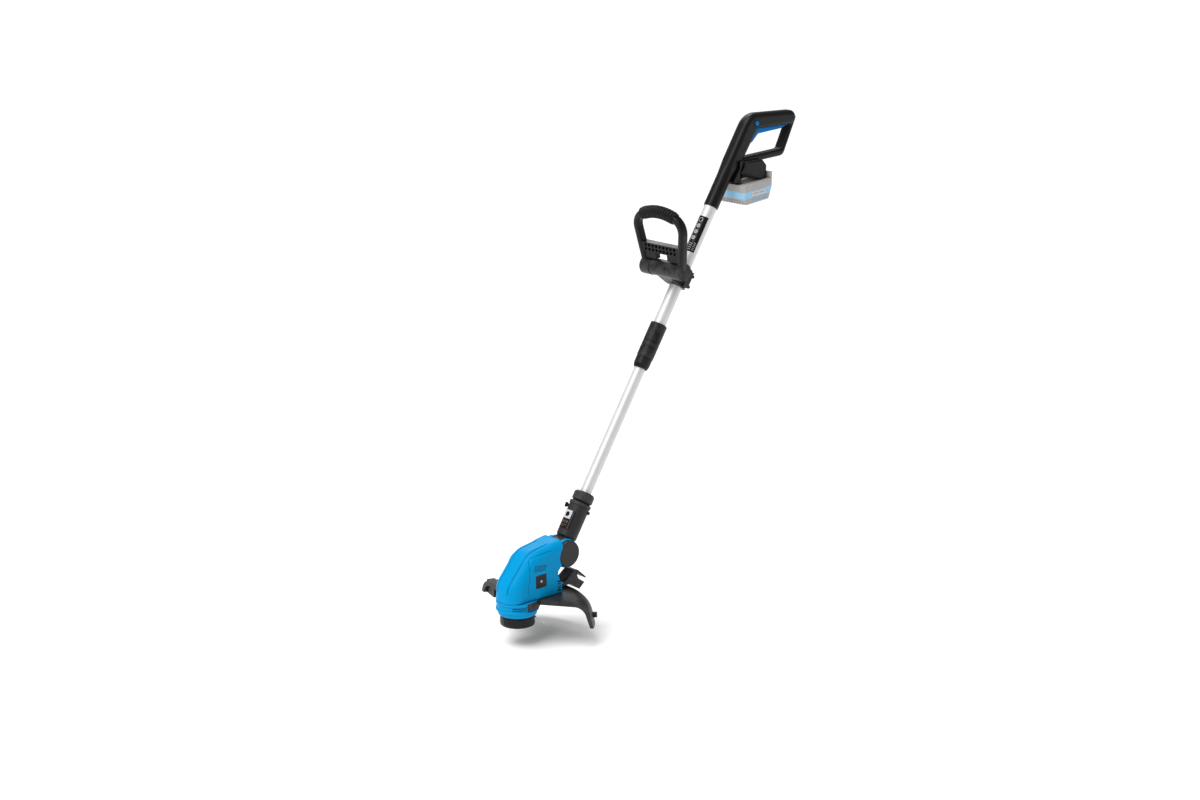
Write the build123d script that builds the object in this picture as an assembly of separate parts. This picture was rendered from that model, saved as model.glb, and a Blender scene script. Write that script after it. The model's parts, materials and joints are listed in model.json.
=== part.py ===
from build123d import *
import math
import os

# Cordless string trimmer, in millimetres.
# The origin is the centre of the bump button's underside. +Z runs up the spool axis,
# +X points back towards the operator and +Y to the operator's right.

os.makedirs("parts", exist_ok=True)

# ---------------------------------------------------------------- driving dimensions
LEAN = 32.5                 # lean of the shaft from the spool axis, degrees
PIVOT_X = 118.0             # tilt pivot, behind the spool axis
PIVOT_Z = 134.0             # tilt pivot, above the ground

RUN_GAP = 0.3               # gap between faces of bodies that move past each other
PIN_GAP = 0.05              # radial clearance of a pin in its own hole
SLIP_GAP = 0.08             # radial clearance of a guide on a tube
CUT = 1.0                   # how far a cutting tool runs past a face

# cutting head
CAP_R = 36.5                # spool cap
CAP_Z0 = 1.5
CAP_Z1 = 25.0
CAP_WALL = 2.5
BUMP_R = 15.0               # bump button in the middle of the cap
BUMP_TRAVEL = 4.0
SHROUD_R = CAP_R + 7.5      # blue ring round the spool drive
SHROUD_Z0 = 25.6
SHROUD_WALL = 3.5
DECK_Z = 57.0               # top of the shroud, where housing and guard meet
DECK_T = 5.0
SPOOL_R = CAP_R - 7.5       # line spool flanges
SPOOL_BARREL_R = 15.0
SPOOL_Z0 = 8.0
SPOOL_Z1 = 21.0
FLANGE_T = 1.8
POST_R = 8.0                # drive hub post that carries the spool
HUB_R = CAP_R - 3.5         # drive hub
HUB_Z0 = 27.0
HUB_T = 3.0
LINE_D = 1.6                # cutting line
LINE_ANGLE = -42.0          # where the line leaves the cap, degrees from +X
LINE_Z = 16.0
LINE_OUT = 25.0             # free length outside the cap
LINE_DROP = 34.0            # how far the free line points down, degrees
EYELET_R = 3.4
AXLE_R = 2.5                # motor shaft
CUT_R = 140.0               # cutting circle radius

# motor
MOTOR_R = 19.0
MOTOR_LENGTH = 50.0
MOTOR_WALL = 1.4
MAGNET_T = 2.4
ROTOR_R = 14.4
BEARING_R = 6.5
BEARING_T = 5.0
FAN_R = 13.0

# motor housing
HOUSING_HALF = 36.0
HOUSING_WALL = 3.0
HOUSING_FRONT = -44.0
HOUSING_REAR = 93.0
EAR_R = 31.0                # ears that hold the neck
EAR_HALF = 22.0
TONGUE_HALF = 14.5          # neck tongue between the ears
TONGUE_R = 29.0
TONGUE_WIDE = 14.0
CAP_DISC_R = 28.0           # round caps over the tilt pivot
CAP_DISC_T = 9.5
TILT_PIN_R = 5.0
WINDOW = (22.0, 49.0, 80.0, 106.0)      # badge plate: x0, x1, z0, z1
WINDOW_T = 1.6

# guard
GUARD_R = 162.0
GUARD_Z0 = 2.0
GUARD_T = 3.0
GUARD_NEAR = -54.0          # near end, degrees from +X
GUARD_FAR = 79.0            # far end
GUARD_SHOULDER = 150.0      # where the top plate would meet the skirt
GUARD_ROUND = 36.0
LIP_DEEP = 11.0             # depth of the end lips
LIP_FOOT = 7.0              # depth of the end lips at the skirt's lower edge
LIP_ANGLE = 2.6             # thickness of the end lips, degrees
RAISED_Z = 25.0             # lower edge of the skirt near the far end
RAISED_SWEEP = (48.0, 84.0)
COLLAR_Z0 = 42.0
COLLAR_T = 3.2
COLLAR_SWEEP = (-100.0, 100.0)

# tilt pedal
PEDAL_X = 99.0
PEDAL_Z = 62.5
PEDAL_HALF = 15.0
PEDAL_PIN_R = 2.5
PEDAL_HUB_R = 4.7
TREAD_RIB = 1.2             # ribs across the pedal tread

# neck and shaft, along the shaft from the tilt pivot
NECK_R = 22.3
NECK_S0 = 32.0
NECK_S1 = 110.0
NUT_S0 = 111.0
NUT_S1 = 134.0
NUT_R = 22.6
TUBE_LOW_R = 12.5
TUBE_LOW_WALL = 1.0
TUBE_LOW_S0 = 96.0
TUBE_LOW_S1 = 545.0
BUSH_BORE = 10.6            # bore left for the lead through the slide bush
TUBE_UP_R = 14.0
TUBE_UP_WALL = 1.2
TUBE_UP_S0 = 452.0
LOCK_S0 = 424.0             # telescopic lock
LOCK_SPLIT = 449.0
LOCK_S1 = 528.0
LOCK_R = 18.6

# front handle
CLAMP_S0 = 618.0
CLAMP_S1 = 662.0
CLAMP_R = 20.0
CLAMP_HALF = 26.6
HINGE_X = -51.0             # handle hinge, in front of the shaft axis
HINGE_S = 637.0
HINGE_R = 18.0
HINGE_HALF = 33.0
HINGE_BOLT_R = 4.0
BAIL_LEAN = -9.2            # lean of the handle from vertical, degrees
BAIL_FOOT = 52.0            # half spacing of the legs at the hinge
BAIL_TOP = 73.0             # half spacing at the top
BAIL_SHOULDER = 113.0
BAIL_CROWN = 127.0
BAIL_WIDE = 15.0
BAIL_DEEP = 20.0
GRIP_R = 13.8
GRIP_HALF = 49.0
CROSS_Z0 = 35.0
CROSS_Z1 = 55.0
CROSS_HOLES = 9
CROSS_PITCH = 11.0

# rear handle, from the point H where it starts on the shaft
HANDLE_S = 806.0
HANDLE_HALF = 16.0
LIMB_FRONT = 15.5
LIMB_REAR = 19.0
SOCKET_DEEP = 75.0
GRIP_TOP = 192.5
GRIP_UNDER = 157.0
LEG_HALF = 13.0
LIMB_ROUND = 11.0
LEG_ROUND = 5.0
FOOT_HALF = 28.0
TRIGGER_HALF = 9.0
BUTTON_R = 5.5

# battery, in the foot's own tilted frame
BATTERY_TILT = 6.0
BATTERY_HALF = 38.5
BATTERY_WALL = 2.0
BAND_TOP = -17.0
BAND_BASE = -32.0
BATTERY_BASE = -45.0
CELL_R = 9.1
CELL_LENGTH = 65.0
RAIL_HALF = 17.0
RAIL_TALL = 10.0
PACK_REAR = 71.0            # where the raised rear block starts, behind the foot

# ---------------------------------------------------------------- worked-out values
SIN = math.sin(math.radians(LEAN))
COS = math.cos(math.radians(LEAN))
SHAFT = Location((PIVOT_X, 0, PIVOT_Z), (0, LEAN, 0))
HANDLE = Location((PIVOT_X + SIN * HANDLE_S, 0, PIVOT_Z + COS * HANDLE_S))
HINGE_AT = (PIVOT_X + SIN * HINGE_S + COS * HINGE_X, PIVOT_Z + COS * HINGE_S - SIN * HINGE_X)
BAIL = Location((HINGE_AT[0], 0, HINGE_AT[1]), (0, BAIL_LEAN, 0))
PACK = HANDLE * Location((75, 0, 46), (0, -BATTERY_TILT, 0))
HALF_SPACE = 2000.0


# ---------------------------------------------------------------- small helpers
def block(x0, x1, y0, y1, z0, z1):
    """Box between two corners."""
    return Pos((x0 + x1) / 2, (y0 + y1) / 2, (z0 + z1) / 2) * Box(x1 - x0, y1 - y0, z1 - z0)


def rod(radius, z0, z1):
    """Round bar on the Z axis."""
    return Pos(0, 0, (z0 + z1) / 2) * Cylinder(radius, z1 - z0)


def tube(outer, inner, z0, z1):
    """Round tube on the Z axis."""
    return rod(outer, z0, z1) - rod(inner, z0 - CUT, z1 + CUT)


def bar_y(x, z, radius, y0, y1):
    """Round bar parallel to Y."""
    return Pos(x, 0, z) * Rot(-90, 0, 0) * rod(radius, y0, y1)


def bar_x(y, z, radius, x0, x1):
    """Round bar parallel to X."""
    return Pos(0, y, z) * Rot(0, 90, 0) * rod(radius, x0, x1)


def outline(points):
    """Face on the X-Z plane from (x, z, corner radius) points."""
    face = Polygon(*[(x, z) for x, z, _ in points], align=None)
    for x, z, radius in points:
        if radius > 0:
            corner = face.vertices().sort_by_distance((x, z, 0))[0]
            face = fillet(corner, radius)
    return Plane.XZ * face


def prism(face, y0, y1):
    """Extrude a face on the X-Z plane between two Y values."""
    return extrude(Pos(0, y0, 0) * face, amount=y1 - y0, dir=(0, 1, 0))


def sector(shape, start, end):
    """Keep the part of a shape between two angles about Z, less than 180 degrees apart."""
    mid = math.radians((start + end) / 2)
    span = math.radians((end - start) / 2)
    reach = 400.0
    edge_a = (reach * math.cos(mid - span), reach * math.sin(mid - span))
    edge_b = (reach * math.cos(mid + span), reach * math.sin(mid + span))
    tip = (2 * reach * math.cos(mid), 2 * reach * math.sin(mid))
    wedge = extrude(Polygon((0, 0), edge_a, tip, edge_b, align=None), amount=reach, both=True)
    return shape & wedge


def sided(side, near, far):
    """The two Y values of a span on one side, in rising order."""
    return sorted((side * near, side * far))


def near_half(shape):
    """The half on the operator's left."""
    return shape & block(-HALF_SPACE, HALF_SPACE, -HALF_SPACE, 0, -HALF_SPACE, HALF_SPACE)


def far_half(shape):
    """The half on the operator's right."""
    return shape & block(-HALF_SPACE, HALF_SPACE, 0, HALF_SPACE, -HALF_SPACE, HALF_SPACE)


def coil(radius, wire, z0, z1, turns):
    """Compression spring on the Z axis."""
    pitch = (z1 - z0 - wire) / turns
    path = Pos(0, 0, z0 + wire / 2) * Helix(pitch, pitch * turns, radius)
    section = Plane(origin=path @ 0, z_dir=path % 0) * Circle(wire / 2)
    return sweep(section, path=path)


def screws_y(points, head_y, tip_y, head_r, shank_r, head_t):
    """Screws parallel to Y, their heads on the far side."""
    solids = []
    for x, z in points:
        head = bar_y(x, z, head_r, head_y - head_t, head_y)
        solids.append(head + bar_y(x, z, shank_r, tip_y, head_y - head_t))
    return Compound(children=solids)


def screw_holes(points, head_y, tip_y, head_r, shank_r, head_t):
    """Counterbores and shank holes for screws_y, with a small clearance."""
    tools = []
    for x, z in points:
        tools.append(bar_y(x, z, head_r + 0.2, head_y - head_t, 60))
        tools.append(bar_y(x, z, shank_r + PIN_GAP, tip_y - 0.5, head_y))
    return tools


def save(name, shape):
    """Write one node."""
    export_step(shape, "parts/" + name + ".step")


# ---------------------------------------------------------------- spool and line
def bump_button():
    """Round button under the cap, with a stem that carries the spool."""
    dome = rod(BUMP_R, 0, CAP_Z0 + BUMP_TRAVEL)
    dome = fillet(dome.edges().sort_by(Axis.Z)[0], 1.2)
    stem = tube(SPOOL_BARREL_R - 3.0, POST_R + RUN_GAP + 1.2, CAP_Z0 + BUMP_TRAVEL, SPOOL_Z0)
    return dome + stem


def spool():
    """Two flanges on a barrel that slides on the drive post."""
    barrel = rod(SPOOL_BARREL_R, SPOOL_Z0, SPOOL_Z1)
    low = rod(SPOOL_R, SPOOL_Z0, SPOOL_Z0 + FLANGE_T)
    high = rod(SPOOL_R, SPOOL_Z1 - FLANGE_T, SPOOL_Z1)
    return barrel + low + high - rod(POST_R + RUN_GAP, SPOOL_Z0 - CUT, SPOOL_Z1 + CUT)


def line_winding():
    """Line wound on the spool."""
    return tube(SPOOL_R - 3.5, SPOOL_BARREL_R, SPOOL_Z0 + FLANGE_T, SPOOL_Z1 - FLANGE_T)


def line_frame():
    """Place at the eyelet with +X pointing out along the free line."""
    out = Rot(0, 0, LINE_ANGLE) * Pos(CAP_R - CAP_WALL / 2, 0, LINE_Z)
    return out * Rot(0, LINE_DROP, 0)


def spool_cap():
    """Cup that holds the spool, with the bump button's hole and the line's exit."""
    cup = rod(CAP_R, CAP_Z0, CAP_Z1)
    cup = fillet(cup.edges().sort_by(Axis.Z)[0], 3.0)
    inside = rod(CAP_R - CAP_WALL, CAP_Z0 + CAP_WALL + 2.0, CAP_Z1 + CUT)
    cup = cup - inside - rod(BUMP_R + RUN_GAP, CAP_Z0 - CUT, CAP_Z1)
    return cup - line_frame() * bar_x(0, 0, EYELET_R, -4, 8)


def line_eyelet():
    """Steel eyelet in the cap wall."""
    body = bar_x(0, 0, EYELET_R, -1.8, 2.6) - bar_x(0, 0, LINE_D / 2 + 0.4, -3, 4)
    return line_frame() * body


def cutting_line():
    """Stiff end of line that stands out of the eyelet."""
    return line_frame() * bar_x(0, 0, LINE_D / 2, -1.8, LINE_OUT)


def spool_hub():
    """Drive hub on the motor shaft, with a post for the spool and a wall inside the cap."""
    plate = rod(HUB_R, HUB_Z0, HUB_Z0 + HUB_T)
    wall = tube(HUB_R, HUB_R - 2.2, CAP_Z1 - 6.0, HUB_Z0)
    post = rod(POST_R, CAP_Z0 + BUMP_TRAVEL + BUMP_TRAVEL + 1.0, HUB_Z0)
    boss = rod(POST_R, HUB_Z0 + HUB_T, HUB_Z0 + HUB_T + 8.0)
    return plate + wall + post + boss - rod(AXLE_R, HUB_Z0 - 8.0, 80)


def spool_spring():
    """Spring that pushes the spool and the bump button down."""
    return coil(POST_R + 2.2, 1.0, SPOOL_Z1, HUB_Z0, 3)


def shroud_ring():
    """Blue ring round the drive hub, closed by a deck that carries the motor."""
    section = Polygon(
        (CAP_R + 0.8, SHROUD_Z0),
        (CAP_R + 2.8, SHROUD_Z0),
        (SHROUD_R, SHROUD_Z0 + 14.0),
        (SHROUD_R, DECK_Z),
        (BEARING_R + 2.0, DECK_Z),
        (BEARING_R + 2.0, DECK_Z - DECK_T),
        (SHROUD_R - SHROUD_WALL, DECK_Z - DECK_T),
        (SHROUD_R - SHROUD_WALL, SHROUD_Z0 + 15.0),
        align=None,
    )
    ring = revolve(Plane.XZ * section, Axis.Z)
    for level in (44.0, 48.5):
        slot = block(SHROUD_R - 6, SHROUD_R + 2, -13, 13, level - 1.0, level + 1.0)
        ring = ring - Rot(0, 0, -124) * slot
    return ring


# ---------------------------------------------------------------- motor
MOTOR_Z0 = DECK_Z
MOTOR_Z1 = DECK_Z + MOTOR_LENGTH


def motor_can():
    """Steel can with end plates and bearing seats."""
    can = rod(MOTOR_R, MOTOR_Z0, MOTOR_Z1) - rod(MOTOR_R - MOTOR_WALL, MOTOR_Z0 + 2, MOTOR_Z1 - 2)
    return can - rod(BEARING_R, MOTOR_Z0 - CUT, MOTOR_Z1 + CUT)


def motor_magnets():
    """Two curved magnets inside the can."""
    outer = MOTOR_R - MOTOR_WALL
    shell = tube(outer, outer - MAGNET_T, MOTOR_Z0 + 8, MOTOR_Z1 - 8)
    return Compound(children=[sector(shell, -65, 65), sector(shell, 115, 245)])


def motor_bearings():
    """Two bearings in the can's end plates."""
    low = tube(BEARING_R, AXLE_R + PIN_GAP, MOTOR_Z0, MOTOR_Z0 + BEARING_T)
    high = tube(BEARING_R, AXLE_R + PIN_GAP, MOTOR_Z1 - BEARING_T, MOTOR_Z1)
    return Compound(children=[low, high])


def rotor():
    """Wound rotor and shaft."""
    core = rod(ROTOR_R, MOTOR_Z0 + 12, MOTOR_Z1 - 16)
    commutator = rod(7.0, MOTOR_Z1 - 16, MOTOR_Z1 - 7)
    return core + commutator + rod(AXLE_R, HUB_Z0 - 8.0, MOTOR_Z1 + 12)


def cooling_fan():
    """Fan on the top of the motor shaft."""
    low = MOTOR_Z1 + 2
    fan = rod(5.0, low, low + 8) + rod(FAN_R, low, low + 1.5)
    for index in range(8):
        fan = fan + Rot(0, 0, index * 45) * block(4, FAN_R, -0.6, 0.6, low + 1.5, low + 7)
    return fan - rod(AXLE_R, low - CUT, low + 9)


# ---------------------------------------------------------------- housing
HOUSING_SCREWS = [(-30.0, 70.0), (62.0, 66.0), (8.0, 138.0), (70.0, 152.0)]
HOUSING_HEAD_Y = HOUSING_HALF - 8.0
HOUSING_TIP_Y = -16.0


# roof facets of the housing, back to front: x, z, slope in degrees, corner radius
ROOF = [
    (45.0, 161.5, 8.7, 18.0),
    (12.0, 152.3, 28.0, 20.0),
    (-18.0, 119.8, 49.1, 22.0),
    (-40.0, 92.0, 70.0, 24.0),
]
HOUSING_CORNER = 30.0


def roof_tunnel(x, z, slope, radius, inset):
    """Long arch whose flat roof passes through (x, z) at a slope, drawn in by an inset."""
    half = HOUSING_HALF - inset
    arch = Polygon((-half, -300), (half, -300), (half, -inset), (-half, -inset), align=None)
    arch = fillet(arch.vertices().group_by(Axis.Y)[-1], radius - inset)
    return Pos(x, 0, z) * Rot(0, -slope, 0) * extrude(Plane.YZ * arch, amount=300, both=True)


def nose_form(inset):
    """Round nose and sloping crest of the housing, drawn in by an inset."""
    half = HOUSING_HALF - inset
    front = HOUSING_FRONT + inset
    plan = Polygon((front, -half), (150, -half), (150, half), (front, half), align=None)
    plan = fillet(plan.vertices().group_by(Axis.X)[0], HOUSING_CORNER - inset)
    body = Pos(0, 0, DECK_Z - inset) * extrude(plan, amount=200)
    for facet in ROOF:
        body = body & roof_tunnel(*facet, inset)
    return body


def housing_solid():
    """Whole outer form of the motor housing, with its waisted rear."""
    rear = outline([
        (-80, DECK_Z, 0), (-80, 250, 0), (97, 250, 0), (97, 122, 0), (80, 103, 12),
        (HOUSING_REAR, 74, 9), (HOUSING_REAR, DECK_Z, 0),
    ])
    return nose_form(0) & prism(rear, -HOUSING_HALF, HOUSING_HALF)


def housing_cavity():
    """Space inside the housing, clear of the tongue slot and the rear floor."""
    side = outline([
        (-60, DECK_Z - CUT, 0), (-60, 200, 0), (74, 200, 0), (74, 100, 0), (84, 76, 0),
        (84, DECK_Z + 12, 0), (40, DECK_Z + 12, 0), (40, DECK_Z - CUT, 0),
    ])
    return nose_form(HOUSING_WALL) & prism(side, -HOUSING_HALF, HOUSING_HALF)


def housing_shell():
    """Housing with its ears, tongue slot, cavity and screw bosses."""
    body = housing_solid()
    for side in (-1, 1):
        body = body - bar_y(PIVOT_X, PIVOT_Z, CAP_DISC_R + 2.0, *sided(side, EAR_HALF, 60))
    body = body + bar_y(PIVOT_X, PIVOT_Z, EAR_R, -EAR_HALF, EAR_HALF)
    slot_half = TONGUE_HALF + RUN_GAP
    body = body - bar_y(PIVOT_X, PIVOT_Z, TONGUE_R + 9.0, -slot_half, slot_half)
    body = body - bar_y(PIVOT_X, PIVOT_Z, TILT_PIN_R, -60, 60)
    body = body - housing_cavity()
    for x, z in HOUSING_SCREWS:
        body = body + (bar_y(x, z, 6.0, -HOUSING_HALF, HOUSING_HALF) & nose_form(HOUSING_WALL / 2))
    for side in (-1, 1):
        span = sided(side, PEDAL_HALF + RUN_GAP, 20)
        lug = block(84, PEDAL_X, *span, DECK_Z + 0.6, PEDAL_Z + PEDAL_HUB_R)
        lug = lug + bar_y(PEDAL_X, PEDAL_Z, PEDAL_HUB_R, *span)
        body = body + lug
    body = body - bar_y(PEDAL_X, PEDAL_Z, PEDAL_PIN_R, -40, 40)
    for x, y in GUARD_SCREWS:
        body = body - Pos(x, y, 0) * rod(2.0, DECK_Z - 2, DECK_Z + 11)
    for index in range(7):
        x = 19 + 4.6 * index
        slat = Pos(x, 0, 125.5 - 0.5 * index) * Rot(0, 20, 0) * block(-1, 1, -60, 60, -6, 6)
        body = body - slat
    for index in range(5):
        vent = block(HOUSING_REAR - 14, HOUSING_REAR - 3, -60, 60, 63 + 5 * index, 65 + 5 * index)
        body = body - vent
    x0, x1, z0, z1 = WINDOW
    for side in (-1, 1):
        body = body - block(x0, x1, *sided(side, HOUSING_HALF - WINDOW_T, 50), z0, z1)
    for tool in screw_holes(HOUSING_SCREWS, HOUSING_HEAD_Y, HOUSING_TIP_Y, 3.4, 1.7, 3.0):
        body = body - tool
    return body


def badge_plates():
    """Plain dark plates let into both sides of the housing."""
    x0, x1, z0, z1 = WINDOW
    plates = []
    for side in (-1, 1):
        ys = sided(side, HOUSING_HALF - WINDOW_T, HOUSING_HALF - 0.4)
        plates.append(block(x0 + 0.1, x1 - 0.1, *ys, z0 + 0.1, z1 - 0.1))
    return Compound(children=plates)


def pivot_caps():
    """Round caps over both ends of the tilt pin."""
    caps = []
    for side in (-1, 1):
        ys = sided(side, EAR_HALF, EAR_HALF + CAP_DISC_T)
        disc = bar_y(PIVOT_X, PIVOT_Z, CAP_DISC_R, *ys)
        face = disc.faces().sort_by(Axis.Y)[0 if side < 0 else -1]
        disc = chamfer(face.edges(), 2.0)
        caps.append(disc - bar_y(PIVOT_X, PIVOT_Z, TILT_PIN_R, *sided(side, 0, EAR_HALF + 4)))
    return Compound(children=caps)


def tilt_pin():
    """Steel pin of the tilt joint."""
    return bar_y(PIVOT_X, PIVOT_Z, TILT_PIN_R, -EAR_HALF - 4, EAR_HALF + 4)


# ---------------------------------------------------------------- guard
CUTTER_BACK = 6.0           # angle of the cutter seat inside the far end, degrees
CUTTER_SCREWS = (116.0, 133.0)
CUTTER_SCREW_Z = 40.0
GUARD_SCREWS = [(66.0, -22.0), (66.0, 22.0), (80.0, 0.0)]


def guard_section(depth, foot):
    """Cross-section of the guard: flat top plate, round shoulder, skirt as thick as foot."""
    top = DECK_Z
    outer = [(SHROUD_R + RUN_GAP, top), (GUARD_SHOULDER, top), (GUARD_R, GUARD_Z0)]
    inner = [
        (GUARD_R - foot, GUARD_Z0),
        (GUARD_SHOULDER - depth * 0.9, top - depth),
        (SHROUD_R + RUN_GAP, top - depth),
    ]
    face = Polygon(*outer, *inner, align=None)
    shoulder = face.vertices().sort_by_distance((GUARD_SHOULDER, top, 0))[0]
    face = fillet(shoulder, GUARD_ROUND)
    inside = face.vertices().sort_by_distance((GUARD_SHOULDER - depth * 0.9, top - depth, 0))[0]
    face = fillet(inside, GUARD_ROUND - depth)
    return Plane.XZ * face


def turned(section, start, end):
    """Revolve a section about Z between two angles."""
    return Rot(0, 0, start) * revolve(section, Axis.Z, revolution_arc=end - start)


def guard():
    """Cutting guard with its end lips, collar band, cutter seat and screw holes."""
    shell = turned(guard_section(GUARD_T, GUARD_T), GUARD_NEAR, GUARD_FAR)
    lips = turned(guard_section(LIP_DEEP, LIP_FOOT), GUARD_NEAR, GUARD_NEAR + LIP_ANGLE)
    lips = lips + turned(guard_section(LIP_DEEP, LIP_FOOT), GUARD_FAR - LIP_ANGLE, GUARD_FAR)
    inner = SHROUD_R + RUN_GAP
    band = Polygon(
        (inner, COLLAR_Z0), (inner + COLLAR_T, COLLAR_Z0), (inner + COLLAR_T, DECK_Z),
        (inner, DECK_Z), align=None,
    )
    collar = turned(Plane.XZ * band, *COLLAR_SWEEP)
    body = shell + lips + collar
    body = body - sector(tube(GUARD_R + 10, 90, -CUT, RAISED_Z), *RAISED_SWEEP)
    seat = Rot(0, 0, GUARD_FAR - CUTTER_BACK) * block(106, 146, -9, 9, RAISED_Z, DECK_Z - GUARD_T)
    hollow = Rot(0, 0, GUARD_FAR - CUTTER_BACK) * block(109, 143, -6.5, 7, RAISED_Z - CUT, DECK_Z - 14)
    body = body + (seat - hollow)
    knob = Rot(0, 0, -41) * bar_x(0, 20, 6.0, GUARD_R - 8, GUARD_R + 4)
    body = body + knob
    for x, y in GUARD_SCREWS:
        body = body - Pos(x, y, 0) * rod(2.0, DECK_Z - 6, DECK_Z + 2)
    for x in CUTTER_SCREWS:
        body = body - Rot(0, 0, GUARD_FAR - CUTTER_BACK) * bar_y(x, CUTTER_SCREW_Z, 1.6, -12, 0)
    return body


def guard_screws():
    """Screws up through the guard into the housing."""
    solids = []
    for x, y in GUARD_SCREWS:
        head = rod(4.0, DECK_Z - GUARD_T - 3.0, DECK_Z - GUARD_T)
        solids.append(Pos(x, y, 0) * (head + rod(1.9, DECK_Z - GUARD_T, DECK_Z + 10)))
    return Compound(children=solids)


def line_cutter():
    """Steel blade that trims the line to length, on the near face of its seat."""
    profile = outline([
        (108, 44, 1), (CUT_R, 44, 1), (CUT_R, 36, 1), (124, 22, 1), (110, 32, 1),
    ])
    blade = prism(profile, -10.4, -9)
    for x in CUTTER_SCREWS:
        blade = blade - bar_y(x, CUTTER_SCREW_Z, 1.6, -15, 0)
    return Rot(0, 0, GUARD_FAR - CUTTER_BACK) * blade


def cutter_screws():
    """Screws that hold the line cutter."""
    solids = []
    for x in CUTTER_SCREWS:
        head = bar_y(x, CUTTER_SCREW_Z, 2.8, -12.2, -10.4)
        shank = bar_y(x, CUTTER_SCREW_Z, 1.5, -10.4, -7.2)
        solids.append(Rot(0, 0, GUARD_FAR - CUTTER_BACK) * (head + shank))
    return Compound(children=solids)


# ---------------------------------------------------------------- tilt pedal
def tilt_pedal():
    """Foot pedal with a hook and a round ribbed tread."""
    side = outline([
        (PEDAL_X, 58.6, 0), (112, 59.6, 0), (133, 61.5, 2), (141, 56, 2), (159, 43.5, 1.5),
        (174, 56, 1.5), (156.5, 68, 2), (153, 76, 3), (154.5, 80.5, 1), (176, 64.5, 0.8),
        (178, 67, 0.8), (155, 87.5, 3), (146, 89.5, 3), (116, 67, 6), (PEDAL_X, 66.5, 0),
    ])
    arm = prism(side, -PEDAL_HALF, PEDAL_HALF)
    body = arm + bar_y(PEDAL_X, PEDAL_Z, PEDAL_HUB_R, -PEDAL_HALF, PEDAL_HALF)
    for step in range(5):
        x = 160.5 + 2.8 * step
        z = 45.0 + 2.4 * step
        body = body + bar_y(x, z, TREAD_RIB, -PEDAL_HALF + 1, PEDAL_HALF - 1)
    return body - bar_y(PEDAL_X, PEDAL_Z, PEDAL_PIN_R + PIN_GAP, -40, 40)


def pedal_pin():
    """Hinge pin of the tilt pedal."""
    return bar_y(PEDAL_X, PEDAL_Z, PEDAL_PIN_R, -21, 21)


# ---------------------------------------------------------------- neck and swivel
LATCH_TURN = 129.0          # where the latch knob stands round the neck, degrees
LATCH_S = 96.0              # along the neck
LATCH_R = 3.2
LATCH_KNOB_R = 5.4
PEG_TURN = -51.0            # small fixed peg opposite the knob
PEG_R = 3.5
BUSH_R = 17.0               # swivel plug that turns in the neck
BUSH_S0 = 89.0


def neck():
    """Neck sleeve with the tongue that swings between the ears."""
    sleeve = fillet(rod(NECK_R, NECK_S0, NECK_S1).edges(), 1.5)
    tongue = prism(outline([
        (-TONGUE_WIDE, 0, 0), (TONGUE_WIDE, 0, 0),
        (TONGUE_WIDE, NECK_S0 + 4, 0), (-TONGUE_WIDE, NECK_S0 + 4, 0),
    ]), -TONGUE_HALF, TONGUE_HALF)
    tongue = tongue + bar_y(0, 0, TONGUE_R, -TONGUE_HALF, TONGUE_HALF)
    body = sleeve + tongue + chamfer(rod(NECK_R + 1.6, NECK_S1 - 7, NECK_S1).edges(), 0.8)
    body = body - rod(BUSH_R, NECK_S0 + 14, BUSH_S0)
    body = body - rod(BUSH_R + SLIP_GAP, BUSH_S0 - CUT, NECK_S1 + CUT)
    body = body - bar_y(0, 0, TILT_PIN_R + PIN_GAP, -40, 40)
    body = body - rod(4.0, TILT_PIN_R + 0.5, NECK_S0 + 18)
    body = body - Rot(0, 0, LATCH_TURN) * bar_x(0, LATCH_S, LATCH_R + PIN_GAP, 10, 40)
    peg = bar_x(0, LATCH_S, PEG_R, NECK_R - 2, NECK_R + 4)
    return SHAFT * (body + Rot(0, 0, PEG_TURN) * peg)


def neck_label():
    """Blank label round the front of the neck."""
    shell = tube(NECK_R + 0.5, NECK_R + 0.02, NECK_S0 + 14, LATCH_S - 9)
    return SHAFT * sector(shell, 138, 222)


def swivel_latch():
    """Spring pin that locks the swivel, with a round knob."""
    pin = bar_x(0, LATCH_S, LATCH_R, BUSH_R + RUN_GAP, NECK_R + 2)
    knob = bar_x(0, LATCH_S, LATCH_KNOB_R, NECK_R + 1.5, NECK_R + 7.5)
    return SHAFT * Rot(0, 0, LATCH_TURN) * (pin + fillet(knob.edges(), 1.0))


def swivel_bush():
    """Plug on the lower tube that turns in the neck."""
    bore = TUBE_LOW_R - TUBE_LOW_WALL - 1.5
    plug = rod(BUSH_R, BUSH_S0 + RUN_GAP, NUT_S0 - 0.8) - rod(bore, BUSH_S0 - CUT, NUT_S0)
    plug = plug - tube(TUBE_LOW_R, TUBE_LOW_R - TUBE_LOW_WALL, TUBE_LOW_S0, NUT_S0)
    return SHAFT * plug


def swivel_nut():
    """Chamfered collar over the swivel."""
    ring = chamfer(rod(NUT_R, NUT_S0, NUT_S1).edges(), 4.0)
    return SHAFT * (ring - rod(TUBE_LOW_R + PIN_GAP, NUT_S0 - CUT, NUT_S1 + CUT))


# ---------------------------------------------------------------- shaft
def lower_tube():
    """Aluminium tube that slides in the upper tube."""
    return SHAFT * tube(TUBE_LOW_R, TUBE_LOW_R - TUBE_LOW_WALL, TUBE_LOW_S0, TUBE_LOW_S1)


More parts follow.
